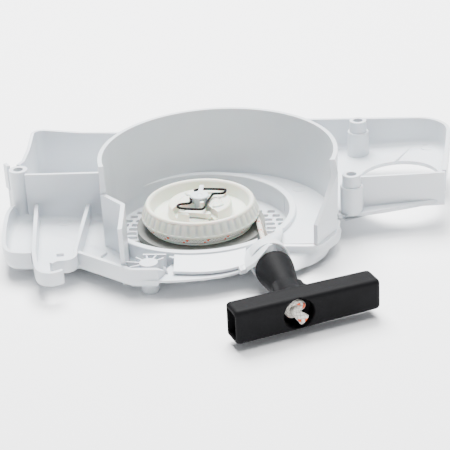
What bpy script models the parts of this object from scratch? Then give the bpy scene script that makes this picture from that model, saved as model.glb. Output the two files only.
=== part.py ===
"""Recoil starter of a small chainsaw: a white moulded fan housing with its rope pulley,
rewind spring, pawl, spring clip, rope and pull handle. Metres, +Z up. The origin is on the
pulley's axis, in the flat underside of the housing."""
import math

import bmesh
import bpy
from mathutils import Matrix, Vector

MM = 0.001
GAP = 0.3            # left between two touching pieces, in mm
WALL = 2.5           # general wall thickness of the moulding, in mm

# Heights above the flat underside, in mm
FLOOR_LOW, FLOOR_TOP = 2.5, 5.0          # floor of the round well
RING_TOP = 20.0                          # rim of the well
DECK_LOW, DECK_TOP = 14.5, 17.0          # floor outside the well
TRAY_LOW, TRAY_TOP = 6.5, 9.0            # floor of the rear tray
TRAY_WALL_TOP = 20.0
REAR_TOP = 42.4                          # walls of the rear box
GUARD_TOP = 44.6                         # the low wall at the shroud's rear end
BAY_TOP = 38.5                           # walls of the front bay
SHROUD_TOP = 63.5

# The round well and the fan shroud
WELL_R, RING_R = 57.2, 61.6
SHROUD_X, SHROUD_Y, SHROUD_R = 13.75, -6.0, 73.4
SHROUD_FROM, SHROUD_TO = -12.0, 197.0    # degrees

# Pulley stack
POST_R, POST_TOP = 5.0, 28.9
PULLEY_R, PULLEY_LOW = 38.0, 11.0
GROOVE_LOW, GROOVE_TOP, GROOVE_R = 12.4, 16.3, 23.6
ROPE_D, ROPE_Z = 3.2, 14.35
WOUND_R = 36.6                           # outside of the wound rope
HUB_R, HUB_TOP = 20.2, 26.0
CLIP_Z, CLIP_D = 28.3, 1.2

# Rope outlet and handle: the rope turns at the outlet, then runs straight to the handle
OUTLET = (46.4, -57.4)
PULL_TURN = math.radians(-73.0)          # direction of the pull in plan
GRIP_TURN = math.radians(26.8)           # direction of the grip bar in plan
HANDLE_Z = 15.0
KNOT_AT = 69.0                           # along the pull, from the outlet

scene = bpy.context.scene
for old in list(bpy.data.objects):
    bpy.data.objects.remove(old, do_unlink=True)


def material(name, colour, rough, metal=0.0):
    mat = bpy.data.materials.new(name)
    mat.use_nodes = True
    shader = mat.node_tree.nodes["Principled BSDF"]
    shader.inputs["Base Color"].default_value = (*colour, 1.0)
    shader.inputs["Roughness"].default_value = rough
    shader.inputs["Metallic"].default_value = metal
    return mat


WHITE = material("white_plastic", (0.86, 0.88, 0.90), 0.35)
NYLON = material("milky_nylon", (0.80, 0.80, 0.70), 0.40)
ROPE = material("braided_rope", (0.85, 0.80, 0.72), 0.85)
BLACK = material("black_plastic", (0.03, 0.03, 0.035), 0.55)
STEEL = material("spring_steel", (0.35, 0.36, 0.38), 0.35, 1.0)
WIRE = material("black_wire", (0.02, 0.02, 0.02), 0.40, 0.6)
BRASS = material("eyelet_metal", (0.62, 0.62, 0.60), 0.30, 1.0)


def finish(bm, name, mat, smooth=False):
    """Turns a bmesh in mm into an object in metres."""
    bmesh.ops.remove_doubles(bm, verts=bm.verts, dist=1e-5)
    bmesh.ops.recalc_face_normals(bm, faces=bm.faces)
    bmesh.ops.scale(bm, vec=(MM, MM, MM), verts=bm.verts)
    mesh = bpy.data.meshes.new(name)
    bm.to_mesh(mesh)
    bm.free()
    if smooth:
        mesh.shade_smooth()
        mesh.set_sharp_from_angle(angle=math.radians(35))
    obj = bpy.data.objects.new(name, mesh)
    scene.collection.objects.link(obj)
    if mat:
        mesh.materials.append(mat)
    return obj


def plate(name, outline, low, top, mat, height=None):
    """A flat plate with the given outline; height(x, y) lifts it where it slopes."""
    bm = bmesh.new()
    lift = height or (lambda x, y: 0.0)
    verts = [bm.verts.new((x, y, low + lift(x, y))) for x, y in outline]
    face = bm.faces.new(verts)
    out = bmesh.ops.extrude_face_region(bm, geom=[face])
    raised = [v for v in out["geom"] if isinstance(v, bmesh.types.BMVert)]
    bmesh.ops.translate(bm, vec=(0, 0, top - low), verts=raised)
    return finish(bm, name, mat)


def sweep(name, path, section, mat, smooth=False):
    """Carries a closed section of (sideways, height) points along a path in plan.
    Sideways is to the left of the path; section(i) may change from point to point."""
    bm = bmesh.new()
    rings = []
    last = len(path) - 1
    for i, (x, y) in enumerate(path):
        here = Vector((x, y))
        before = (here - Vector(path[i - 1])).normalized() if i else None
        after = (Vector(path[i + 1]) - here).normalized() if i < last else None
        along = ((before or after) + (after or before)).normalized()
        side = Vector((-along.y, along.x))
        stretch = 1.0 / max(0.5, along.dot(after or before))
        rings.append([bm.verts.new((x + side.x * u * stretch, y + side.y * u * stretch, z))
                      for u, z in section(i)])
    count = len(rings[0])
    for a, b in zip(rings, rings[1:]):
        for k in range(count):
            j = (k + 1) % count
            bm.faces.new((a[k], a[j], b[j], b[k]))
    bm.faces.new(rings[0])
    bm.faces.new(list(reversed(rings[-1])))
    return finish(bm, name, mat, smooth)


def wall(name, path, low, top, mat=WHITE, thick=WALL, smooth=False):
    """A standing wall along a path; low and top are heights or lists, one for each point."""
    def section(i):
        foot = low[i] if isinstance(low, list) else low
        head = top[i] if isinstance(top, list) else top
        return [(-thick / 2, foot), (thick / 2, foot), (thick / 2, head), (-thick / 2, head)]
    return sweep(name, path, section, mat, smooth)


def turned(name, profile, mat, steps=48, at=(0.0, 0.0), smooth=True):
    """Turns a closed (radius, height) profile round a vertical axis."""
    bm = bmesh.new()
    rings = []
    for r, z in profile:
        if r < 1e-6:
            rings.append([bm.verts.new((0, 0, z))])
        else:
            rings.append([bm.verts.new((r * math.cos(2 * math.pi * k / steps),
                                        r * math.sin(2 * math.pi * k / steps), z)) for k in range(steps)])
    for a, b in zip(rings, rings[1:] + rings[:1]):
        if len(a) == 1 and len(b) == 1:
            continue
        for k in range(steps):
            j = (k + 1) % steps
            corners = [a[k % len(a)], a[j % len(a)], b[j % len(b)], b[k % len(b)]]
            bm.faces.new(list(dict.fromkeys(corners)))
    bmesh.ops.translate(bm, vec=(at[0], at[1], 0), verts=bm.verts)
    return finish(bm, name, mat, smooth)


def box(name, low, high, mat=None):
    bm = bmesh.new()
    bmesh.ops.create_cube(bm, size=1.0)
    size = [h - l for l, h in zip(low, high)]
    middle = [(h + l) / 2 for l, h in zip(low, high)]
    bmesh.ops.scale(bm, vec=size, verts=bm.verts)
    bmesh.ops.translate(bm, vec=middle, verts=bm.verts)
    return finish(bm, name, mat)


def tool(obj):
    obj.hide_render = True
    obj.display_type = "WIRE"
    return obj


def boolean(obj, other, operation):
    mod = obj.modifiers.new(operation.lower(), "BOOLEAN")
    mod.operation = operation
    mod.solver = "EXACT"
    mod.object = tool(other)
    return obj


def drill(obj, x, y, radius, low, high, steps=24):
    profile = [(0, low), (radius, low), (radius, high), (0, high)]
    hole = turned(obj.name + "_hole", profile, None, steps, (x, y))
    return boolean(obj, hole, "DIFFERENCE")


def arc(cx, cy, radius, start, end, steps):
    """Points on an arc from one angle to another, in degrees."""
    angles = [math.radians(start + (end - start) * k / steps) for k in range(steps + 1)]
    return [(cx + radius * math.cos(a), cy + radius * math.sin(a)) for a in angles]


def curve(points, per_span=6):
    """A smooth line through a few plan points (Catmull-Rom)."""
    ends = [points[0]] + list(points) + [points[-1]]
    line = []
    for p0, p1, p2, p3 in zip(ends, ends[1:], ends[2:], ends[3:]):
        for k in range(per_span):
            t = k / per_span
            line.append(tuple(0.5 * (2 * b + (c - a) * t + (2 * a - 5 * b + 4 * c - d) * t * t
                                     + (3 * b - a - 3 * c + d) * t ** 3)
                              for a, b, c, d in zip(p0, p1, p2, p3)))
    line.append(points[-1])
    return line


# ---------------------------------------------------------------- the round well

def intake_grille():
    """Floor of the well: plain in the middle, slotted for air on both sides, with a flat
    raised disc underneath that the whole starter rests on."""
    chamfer, disc_r = 2.0, 38.0
    profile = [(0, 0), (disc_r, 0), (disc_r + 2.0, FLOOR_LOW), (RING_R - chamfer, FLOOR_LOW),
               (RING_R, FLOOR_LOW + chamfer), (RING_R, FLOOR_TOP), (0, FLOOR_TOP)]
    obj = turned("intake_grille", profile, WHITE, 72)
    pitch, slot_wide, plain_r, edge_r = 9.0, 4.8, 40.6, 54.5
    for row in range(-2, 5):
        y = row * pitch + 1.5
        inner = math.sqrt(max(plain_r ** 2 - y * y, 0.0)) if abs(y) < plain_r else 0.0
        outer = math.sqrt(edge_r ** 2 - (abs(y) + slot_wide / 2) ** 2)
        for side in (-1, 1):
            if outer - inner < 4.0:
                continue
            ends = sorted((side * inner, side * outer))
            low, high = (ends[0], y - slot_wide / 2, -2), (ends[1], y + slot_wide / 2, 8)
            boolean(obj, box(f"slot_{row}_{side}", low, high), "DIFFERENCE")
    return obj


# Puts +Z of a turned piece along the pull, starting at the outlet
PULL_FRAME = (Matrix.Translation((OUTLET[0], OUTLET[1], HANDLE_Z))
              @ Matrix.Rotation(PULL_TURN, 4, "Z") @ Matrix.Rotation(math.pi / 2, 4, "Y"))


def well_ring():
    """Wall of the well, with a slot where the rope leaves towards the outlet."""
    obj = turned("well_ring", [(WELL_R, FLOOR_TOP + GAP), (RING_R, FLOOR_TOP + GAP),
                               (RING_R, RING_TOP), (WELL_R, RING_TOP)], WHITE, 96)
    slot = box("rope_slot", (39.5, -52, 10.5), (49.5, -30, RING_TOP + 2))
    return boolean(obj, slot, "DIFFERENCE")


# ---------------------------------------------------------------- the fan shroud

def clear_of_ring(obj):
    """Lifts a wall's foot over the well's rim where it stands on it."""
    top = RING_TOP + GAP
    foot = turned(obj.name + "_foot", [(0, 0), (RING_R + GAP, 0), (RING_R + GAP, top), (0, top)], None, 96)
    return boolean(obj, foot, "DIFFERENCE")


def shroud_wall():
    path = arc(SHROUD_X, SHROUD_Y, SHROUD_R, SHROUD_FROM, SHROUD_TO, 60)
    return clear_of_ring(wall("fan_shroud_wall", path, DECK_TOP + GAP, SHROUD_TOP, smooth=True))


def shroud_front_wall():
    """The wall past the shroud's front end: its top falls steeply to the deck."""
    path = [(87.4, -24.0), (82.2, -35.0), (76.2, -46.0)]
    return wall("shroud_front_wall", path, DECK_TOP + GAP, [54.2, 42.0, 30.0], thick=2.8)


def low_guard_wall():
    """The lower wall that closes the shroud's rear end and runs out to the front edge."""
    path = [(-55.8, -29.9), (-42.4, -43.2), (-39.8, -75.2)]
    return clear_of_ring(wall("low_guard_wall", path, TRAY_TOP + GAP, GUARD_TOP))


def deck():
    """Crescent floor between the well and the shroud, with the ledge in front of it."""
    inner = arc(0, 0, RING_R + GAP, -36, 106, 38)
    outer = arc(SHROUD_X, SHROUD_Y, SHROUD_R + WALL / 2, 111, -20, 38)
    ledge = [(79.5, -41.0), (74.6, -43.3), (55.5, -43.3)]
    return plate("shroud_deck", inner + outer + ledge, DECK_LOW, DECK_TOP, WHITE)


def lower_skin():
    """Outer skin under the deck, from the rope outlet round to the back of the well."""
    path = [(66.5, -52.5), (74.5, -45.0), (82.6, -34.0)]
    path += arc(SHROUD_X, SHROUD_Y, SHROUD_R - 0.6, -6, 56, 18)
    low, top = FLOOR_LOW, DECK_LOW - GAP
    section = [(-1.2, low + 3), (0.6, low), (9.0, low), (9.0, low + 2), (1.4, low + 2), (1.4, top),
               (-1.2, top)]
    return sweep("lower_skin", path, lambda i: section, WHITE)


# ---------------------------------------------------------------- rear box and tray

REAR_CORNER_R = 6.0


def rear_box_wall():
    back = [(-28.2, 60.6), (-38.0, 76.5), (-115.5, 82.2)]
    corner = arc(-116.0, 76.2, REAR_CORNER_R, 90, 180, 5)
    path = back + corner[1:] + [(-122.6, 27.0)]
    return clear_of_ring(wall("rear_box_wall", path, TRAY_TOP + GAP, REAR_TOP))


def rear_box_floor():
    well = arc(0, 0, RING_R + GAP, 168.8, 113.0, 14)
    outline = ([(-122.6, 12.0)] + well + [(-27.0, 61.4), (-37.4, 77.7), (-115.5, 83.4)]
               + arc(-116.0, 76.2, REAR_CORNER_R + 1.2, 95, 180, 4))
    obj = plate("rear_box_floor", outline, TRAY_LOW, TRAY_TOP, WHITE)
    return drill(obj, -120.6, 17.9, 3.2, 0, 20)


def rear_mid_wall():
    path = [(-113.8, 12.9), (-59.4, 12.9)]
    return clear_of_ring(wall("rear_mid_wall", path, TRAY_TOP + GAP, REAR_TOP - 1.1))


def rear_screw_boss():
    inner = 3.2
    return turned("rear_screw_boss", [(inner, TRAY_TOP + GAP), (6.3, TRAY_TOP + GAP), (6.2, REAR_TOP),
                                      (inner, REAR_TOP)], WHITE, 28, (-120.6, 17.9))


TRAY_EDGE = [(-124.6, 10.2), (-125.8, -3.0), (-122.4, -29.0), (-118.2, -48.6), (-112.6, -57.0),
             (-104.5, -58.6), (-99.2, -58.4)]


def tray_outer_wall():
    return wall("tray_outer_wall", curve(TRAY_EDGE, 4), TRAY_TOP + GAP, TRAY_WALL_TOP)


def tray_floor():
    rear = curve(TRAY_EDGE, 4)
    front = [(-97.6, -59.6), (-70.5, -57.0), (-53.0, -71.0), (-34.0, -83.4), (-17.6, -83.4), (-9.4, -61.3)]
    inner = arc(0, 0, RING_R + GAP, -98.8, -190.8, 30)
    obj = plate("tray_floor", rear + front + inner + [(-61.5, 11.6)], TRAY_LOW, TRAY_TOP, WHITE)
    return drill(obj, -24.5, -72.5, 6.1, 0, 20)


CATCH_BAR_LOW = 11.0


def catch_rib():
    """Long rib that runs out into the round hook."""
    straight = [(-109.5, 11.0), (-98.0, -56.9)]
    foot = wall("catch_rib", straight, TRAY_TOP + GAP, TRAY_WALL_TOP, thick=2.6)
    hook = curve([(-98.0, -56.9), (-92.4, -76.5), (-88.0, -83.6), (-82.4, -85.8), (-77.4, -83.6),
                  (-75.8, -81.6)], 5)
    return boolean(foot, wall("catch_hook_tool", hook, CATCH_BAR_LOW, TRAY_WALL_TOP, None, 2.6), "UNION")


def catch_finger():
    """Second rib, which turns at its end into the finger facing the hook."""
    foot = wall("catch_finger", [(-75.0, 11.0), (-72.3, -56.0)], TRAY_TOP + GAP, TRAY_WALL_TOP, thick=2.6)
    finger = curve([(-72.3, -56.0), (-71.4, -63.5), (-74.6, -68.0), (-81.4, -69.6), (-84.0, -73.0)], 5)
    bar = wall("catch_finger_tool", finger, CATCH_BAR_LOW, TRAY_WALL_TOP, None, 2.6)
    return boolean(foot, bar, "UNION")


def catch_floor():
    outline = [(-95.0, -60.6), (-73.6, -58.6), (-73.2, -62.6), (-76.0, -66.2), (-82.0, -67.8), (-85.4, -71.2),
               (-86.4, -76.0), (-88.4, -79.6), (-90.6, -76.0)]
    return plate("catch_floor", outline, CATCH_BAR_LOW, CATCH_BAR_LOW + 2.5, WHITE)


def tray_front_wall():
    path = [(-69.6, -58.4), (-52.3, -70.0), (-34.0, -82.2), (-18.2, -82.2), (-10.9, -63.4)]
    return wall("tray_front_wall", path, TRAY_TOP + GAP, TRAY_WALL_TOP)


def guard_boss():
    """Screw boss in the box by the front edge, stiffened by ribs, with its foot below."""
    x, y = -24.5, -72.5
    obj = turned("guard_boss", [(0, 0), (4.9, 0), (5.7, 0.8), (5.7, RING_TOP - 0.4), (0, RING_TOP - 0.4)],
                 WHITE, 28, (x, y))
    for number, turn in enumerate((40, 75, 110, 150)):
        rib = box(f"boss_rib_{number}", (0, -0.6, TRAY_TOP + GAP), (9.0, 0.6, RING_TOP - 0.8))
        rib.location = (x * MM, y * MM, 0)
        rib.rotation_euler = (0, 0, math.radians(turn))
        boolean(obj, rib, "UNION")
    return obj


# ---------------------------------------------------------------- front apron and outlet

APRON_EDGE = [(-8.4, -76.2), (8.0, -76.6), (22.0, -73.6), (32.5, -67.6), (38.5, -58.6), (39.0, -50.2)]


def apron_panel():
    """Flat panel between the well and the front lip."""
    inner = arc(0, 0, RING_R + GAP, -53, -97, 12)
    outline = curve(APRON_EDGE, 4)[:-3] + inner + [(-10.0, -64.6)]
    obj = plate("apron_panel", outline, DECK_LOW, DECK_TOP, WHITE)
    around = pull_turned("panel_cut", [(0, -8.0), (13.4, -8.0), (13.4, 30.0), (0, 30.0)], None)
    return boolean(obj, around, "DIFFERENCE")


def front_lip():
    """Thin lip along the lower front edge, with the low wall that carries the panel."""
    path = curve([(-14.4, -79.2), (8.0, -78.6), (23.4, -75.2), (33.4, -68.6)], 4)
    top = DECK_LOW - GAP
    section = [(-6.0, 11.0), (1.0, 11.0), (1.0, top), (-1.0, top), (-1.0, 13.0), (-6.0, 13.0)]
    return sweep("front_lip", path, lambda i: section, WHITE)


def pull_turned(name, profile, mat, steps=32):
    """Turns a (radius, along) profile round the pull line; along is measured from the outlet."""
    obj = turned(name, profile, mat, steps)
    obj.matrix_world = Matrix.Scale(MM, 4) @ PULL_FRAME @ Matrix.Scale(1 / MM, 4)
    return obj


def outlet_collar():
    """Round boss in the outer skin where the rope comes out and the handle's nose seats."""
    return pull_turned("outlet_collar", [(6.4, -4.0), (11.6, -4.0), (13.0, 3.0), (13.0, 18.0), (11.2, 18.0),
                                         (10.2, 4.0), (6.4, 1.6)], WHITE, 40)


def rope_bush():
    profile = [(2.3, -3.4), (3.4, -4.6), (6.1, -4.6), (6.1, 0.8), (3.4, 2.4), (2.3, 1.4)]
    return pull_turned("rope_bush", profile, BRASS, 28)


# ---------------------------------------------------------------- front bay

def bay_lift(x, y):
    """The bay's floor rises gently towards its outer end."""
    return 3.5 * (x - 90.0) / 60.0


BAY_EDGE = [(163.0, 84.0), (161.6, 94.0), (155.8, 103.0), (147.0, 108.0), (137.0, 109.0)]


def bay_floor():
    outline = [(90.4, -3.2), (104.5, -2.0), (132.0, 4.5), (150.0, 10.4), (156.8, 16.0)]
    outline += curve(BAY_EDGE, 3) + [(66.0, 109.0), (62.0, 52.0)]
    outline += arc(SHROUD_X, SHROUD_Y, SHROUD_R + WALL / 2 + GAP, 49.0, 4.0, 12)
    obj = plate("bay_floor", outline, DECK_LOW, DECK_TOP, WHITE, bay_lift)
    drill(obj, 128.0, 50.0, 26.5, 0, 40, 48)
    drill(obj, 100.9, 94.3, 3.2, 0, 40)
    return drill(obj, 97.2, 3.4, 3.2, 0, 40)


def bay_outer_wall():
    path = [(156.0, 17.0)] + [(x - 1.3, y) for x, y in curve(BAY_EDGE, 3)[:-3]]
    path += [(137.0, 107.8), (67.2, 107.8), (63.6, 53.2)]
    foot = [DECK_TOP + GAP + bay_lift(x + 1.5, y) for x, y in path]
    return wall("bay_outer_wall", path, foot, BAY_TOP)


def bay_mid_wall():
    path = [(104.6, 7.6), (153.6, 12.8)]
    foot = [DECK_TOP + GAP + bay_lift(x + 1.5, y) for x, y in path]
    return wall("bay_mid_wall", path, foot, BAY_TOP + 0.3)


def bay_boss(name, x, y):
    """Stepped screw boss."""
    foot, step, top = DECK_TOP + GAP + bay_lift(x + 7.5, y), 34.0, 42.6
    return turned(name, [(3.2, foot), (7.4, foot), (7.3, step), (5.9, step), (5.8, top), (3.2, top)],
                  WHITE, 28, (x, y))


# ---------------------------------------------------------------- pulley, spring and clip

def centre_post():
    """Fixed post on which the pulley turns."""
    foot = FLOOR_TOP + GAP
    return turned("centre_post", [(0, foot), (8.0, foot), (8.0, 7.2), (POST_R, 7.2), (POST_R, POST_TOP),
                                  (0, POST_TOP)], WHITE, 32)


def post_cap():
    """Retaining disc on the post, with the lug that the clip's long arm runs under."""
    low = POST_TOP + GAP
    obj = turned("post_cap", [(0, low), (5.4, low), (6.1, low + 0.6), (6.1, low + 1.3), (5.5, low + 1.7),
                              (2.2, low + 1.7), (1.4, low + 1.2), (0, low + 1.2)], WHITE, 36)
    lug = box("cap_lug", (-1.4, 5.2, low + 0.2), (1.4, 16.0, low + 1.4))
    return boolean(obj, lug, "UNION")


def spring_cassette():
    """Round pan on the well's floor that holds the rewind spring."""
    low = FLOOR_TOP + GAP
    rim = PULLEY_LOW - 0.6
    return turned("spring_cassette", [(8.4, low), (40.0, low), (40.0, rim), (38.4, rim), (38.4, low + 1.0),
                                      (8.4, low + 1.0)], WHITE, 64)


def recoil_spring():
    """Flat spiral spring, wound from the cassette's wall in to the pulley's hub."""
    turns, start_r, end_r, strip, steps = 6, 36.6, 11.0, 0.5, 32
    path = []
    for k in range(turns * steps + 1):
        share = k / (turns * steps)
        radius = start_r + (end_r - start_r) * share
        angle = 2 * math.pi * k / steps
        path.append((radius * math.cos(angle), radius * math.sin(angle)))
    low = FLOOR_TOP + GAP + 1.3
    return wall("recoil_spring", path, low, PULLEY_LOW - 0.8, STEEL, strip)


def rope_pulley():
    """Moulded pulley: rope groove below, fluted cone above, and a hub inside an open ring."""
    bore = POST_R + GAP
    obj = turned("rope_pulley", [
        (bore, PULLEY_LOW), (PULLEY_R, PULLEY_LOW), (PULLEY_R, GROOVE_LOW), (GROOVE_R, GROOVE_LOW),
        (GROOVE_R, GROOVE_TOP), (PULLEY_R, GROOVE_TOP), (37.9, 17.2), (35.2, 23.4), (33.4, 27.6),
        (32.4, 28.4),
        (30.6, 28.2), (29.1, 26.6), (28.6, 18.6), (HUB_R + 0.4, 18.6), (HUB_R, HUB_TOP - 0.5),
        (HUB_R - 0.5, HUB_TOP), (bore, HUB_TOP)], NYLON, 64)
    pocket = plate("pawl_pocket", [(-14.4, -6.2), (-6.0, -4.6), (4.8, -4.6), (7.4, -8.0), (14.4, -17.6),
                                   (15.0, -26.0), (-4.0, -27.2), (-5.0, -18.0), (-13.4, -16.0),
                                   (-16.8, -11.4)], 21.4, 30.0, None)
    obj = boolean(obj, pocket, "DIFFERENCE")
    ring = turned("pocket_guard", [(28.7, 18.0), (40, 18.0), (40, 32), (28.7, 32)], None, 64)
    # The pocket reaches only as far as the open ring round the hub
    boolean(pocket, ring, "DIFFERENCE")
    return obj


PAWL_PIVOT = (-9.6, -11.0)


def pawl():
    """Drive pawl: a flat hooked lever with the peg that the clip moves."""
    px, py = PAWL_PIVOT
    back = arc(px, py, 3.2, 80, 260, 10)
    front = [(-1.0, -15.2), (6.0, -17.4), (8.6, -17.0), (8.2, -13.6), (4.6, -12.0), (4.8, -7.4), (2.2, -5.2),
             (-0.4, -7.0), (-2.6, -9.0)]
    obj = plate("pawl", back + front, 21.7, 25.0, NYLON)
    peg = turned("pawl_peg", [(0, 24), (1.5, 24), (1.5, 29.0), (0, 29.0)], None, 18, (2.2, -7.6))
    return boolean(obj, peg, "UNION")


def tube(name, points, diameter, mat, sides=2):
    """A wire or rope along points in mm, with closed ends."""
    data = bpy.data.curves.new(name, "CURVE")
    data.dimensions = "3D"
    data.bevel_depth = diameter * MM / 2
    data.bevel_resolution = sides
    data.use_fill_caps = True
    spline = data.splines.new("POLY")
    spline.points.add(len(points) - 1)
    for target, (x, y, z) in zip(spline.points, points):
        target.co = (x * MM, y * MM, z * MM, 1.0)
    obj = bpy.data.objects.new(name, data)
    scene.collection.objects.link(obj)
    data.materials.append(mat)
    return obj


def spring_clip():
    """Spring wire clip that grips the post and reaches round the pawl's peg."""
    path = [(-6.4, 11.6), (-2.0, 13.9), (6.0, 14.2), (12.8, 13.8), (15.9, 12.2), (15.6, 8.4), (12.4, 7.0),
            (8.2, 6.6), (6.6, 4.0), (6.3, 0.0), (6.2, -4.6), (6.6, -9.0), (6.6, -13.6), (4.2, -16.4),
            (-1.0, -16.6), (-10.4, -15.0), (-13.2, -12.6), (-12.6, -9.2), (-9.0, -8.0), (-6.2, -7.2),
            (-6.0, -4.0), (-6.2, 0.0), (-5.6, 3.6)]
    return tube("spring_clip", [(x, y, CLIP_Z) for x, y in curve(path, 3)], CLIP_D, WIRE, 1)


# ---------------------------------------------------------------- rope and handle

def rope_winding():
    """The rope wound on the pulley, as the solid that its turns fill."""
    half = ROPE_D / 2
    inner, outer = GROOVE_R + GAP, WOUND_R
    profile = [(inner, -half), (outer - 0.8, -half), (outer, -0.8), (outer, 0.8), (outer - 0.8, half),
               (inner, half)]
    return turned("rope_winding", [(radius, ROPE_Z + up) for radius, up in profile], ROPE, 64)


def along_pull(distance):
    return (OUTLET[0] + distance * math.cos(PULL_TURN), OUTLET[1] + distance * math.sin(PULL_TURN))


def rope_lead():
    """The rope from the pulley's side to the knot in the handle, in one piece."""
    reach = math.hypot(*OUTLET)
    touch = math.atan2(OUTLET[1], OUTLET[0]) + math.acos((WOUND_R + GAP + ROPE_D / 2) / reach)
    radius = WOUND_R + GAP + ROPE_D / 2
    start = (radius * math.cos(touch), radius * math.sin(touch))
    before = [tuple(s + (o - s) * k / 8 for s, o in zip(start, OUTLET)) for k in range(8)]
    after = [along_pull(d) for d in [1.5 + k * (KNOT_AT - 6.5) / 12 for k in range(13)]]
    return tube("rope_lead", [(x, y, ROPE_Z + (HANDLE_Z - ROPE_Z) * min(1, k / 8))
                              for k, (x, y) in enumerate(before + after)], ROPE_D, ROPE, 2)


BAR_LEFT, BAR_RIGHT = 36.5, 50.0         # ends of the grip bar from the rope's line
BAR_DEEP, BAR_TALL = 16.0, 20.0
BAR_FACE = 76.0                          # along the pull, from the outlet to the bar's front face


def rounded_bar():
    bm = bmesh.new()
    bmesh.ops.create_cube(bm, size=1.0)
    bmesh.ops.scale(bm, vec=(BAR_LEFT + BAR_RIGHT, BAR_DEEP, BAR_TALL), verts=bm.verts)
    bmesh.ops.translate(bm, vec=((BAR_RIGHT - BAR_LEFT) / 2, 0, 0), verts=bm.verts)
    bmesh.ops.bevel(bm, geom=bm.edges[:], offset=3.0, segments=2, affect="EDGES", profile=0.5)
    bmesh.ops.rotate(bm, matrix=Matrix.Rotation(GRIP_TURN, 3, "Z"), verts=bm.verts)
    x, y = along_pull(BAR_FACE - BAR_DEEP / 2)
    bmesh.ops.translate(bm, vec=(x, y, HANDLE_Z), verts=bm.verts)
    return finish(bm, "pull_handle", BLACK)


def pull_handle():
    """Grip bar with a tapering nose that seats in the outlet, a rope hole right through and
    a round recess in the face for the knot. The bar's short end is hollow."""
    obj = rounded_bar()
    nose = pull_turned("handle_nose", [(0, 12.0), (8.6, 12.0), (9.6, 18.0), (10.0, 24.0), (8.2, 38.0),
                                       (7.6, 48.0), (8.6, 56.0), (10.0, 62.0), (0, 62.0)], None, 32)
    boolean(obj, nose, "UNION")
    recess = pull_turned("knot_recess", [(0, 66.0), (9.2, 66.0), (9.4, 90.0), (0, 90.0)], None, 32)
    boolean(obj, recess, "DIFFERENCE")
    bore = pull_turned("rope_bore", [(0, 5.0), (2.3, 5.0), (2.3, 70.0), (0, 70.0)], None, 20)
    boolean(obj, bore, "DIFFERENCE")
    hollow = box("end_hollow", (-60.0, -5.6, -7.6), (-17.0, 5.6, 7.6))
    x, y = along_pull(BAR_FACE - BAR_DEEP / 2)
    hollow.location = (x * MM, y * MM, HANDLE_Z * MM)
    hollow.rotation_euler = (0, 0, GRIP_TURN)
    return boolean(obj, hollow, "DIFFERENCE")


def rope_knot():
    """Knotted end of the rope, held in the handle's recess."""
    bm = bmesh.new()
    bmesh.ops.create_icosphere(bm, subdivisions=3, radius=1.0)
    for v in bm.verts:
        turn = math.atan2(v.co.y, v.co.x)
        swell = 1.0 + 0.07 * math.cos(3 * turn + 5 * v.co.z)
        v.co = Vector((v.co.x * 6.4 * swell, v.co.y * 6.4 * swell, v.co.z * 5.4))
    bmesh.ops.translate(bm, vec=(0, 0, KNOT_AT + 2.9), verts=bm.verts)
    bmesh.ops.transform(bm, matrix=PULL_FRAME, verts=bm.verts)
    return finish(bm, "rope_knot", ROPE, True)


for make in (intake_grille, well_ring, shroud_wall, shroud_front_wall, low_guard_wall, deck, lower_skin,
             rear_box_wall, rear_box_floor, rear_mid_wall, rear_screw_boss, tray_outer_wall, tray_floor,
             catch_rib, catch_finger, catch_floor, tray_front_wall, guard_boss, apron_panel, front_lip,
             outlet_collar, rope_bush, bay_floor, bay_outer_wall, bay_mid_wall, centre_post, post_cap,
             spring_cassette, recoil_spring, rope_pulley, pawl, spring_clip, rope_winding, rope_lead,
             pull_handle, rope_knot):
    make()
bay_boss("bay_boss_rear", 100.9, 94.3)
bay_boss("bay_boss_front", 97.2, 3.4)
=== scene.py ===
# Recoil starter: the visible pieces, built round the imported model.
import bpy, bmesh, math
from mathutils import Matrix, Vector


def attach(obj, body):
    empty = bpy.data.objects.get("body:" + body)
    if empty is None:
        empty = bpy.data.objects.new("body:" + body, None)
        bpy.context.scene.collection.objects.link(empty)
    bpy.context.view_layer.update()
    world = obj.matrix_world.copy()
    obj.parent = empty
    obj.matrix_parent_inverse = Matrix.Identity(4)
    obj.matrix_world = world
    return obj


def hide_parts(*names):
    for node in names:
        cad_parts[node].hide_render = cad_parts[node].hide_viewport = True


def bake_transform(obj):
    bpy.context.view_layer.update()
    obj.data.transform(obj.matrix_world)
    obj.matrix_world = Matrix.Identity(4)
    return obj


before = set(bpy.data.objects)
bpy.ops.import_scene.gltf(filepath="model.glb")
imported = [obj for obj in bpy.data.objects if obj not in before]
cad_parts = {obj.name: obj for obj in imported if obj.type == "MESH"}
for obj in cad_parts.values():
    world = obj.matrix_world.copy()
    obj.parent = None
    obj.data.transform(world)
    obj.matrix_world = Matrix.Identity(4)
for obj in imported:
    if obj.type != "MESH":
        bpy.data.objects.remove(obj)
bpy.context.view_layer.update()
print("frame loaded")

mm = 0.001


# camera, floor and lights
viewSetup = dict(place=(0.1102, -0.8966, 0.4392), aim=(0.0178, -0.0228, 0.0200), roll=-3.18, lens=123.8,
                 sensor=36.0, farthest=20.0)
stageSetup = dict(floorSize=6.0, floorColour=(0.97, 0.97, 0.975), floorRough=0.9,
                  worldColour=(0.94, 0.97, 1.0), worldStrength=0.50)
lightSetup = dict(aim=(0, 0, 0.02), lamps=[
    dict(name="backLight", place=(-0.15, 0.70, 1.35), size=0.9, power=84.0),
    dict(name="topLight", place=(0.20, 0.10, 1.6), size=1.2, power=50.0),
])


def aimedRotation(place, aim, roll=0.0):
    turn = (Vector(aim) - Vector(place)).to_track_quat("-Z", "Y").to_matrix()
    return (turn @ Matrix.Rotation(math.radians(roll), 3, "Z")).to_euler()


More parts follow.
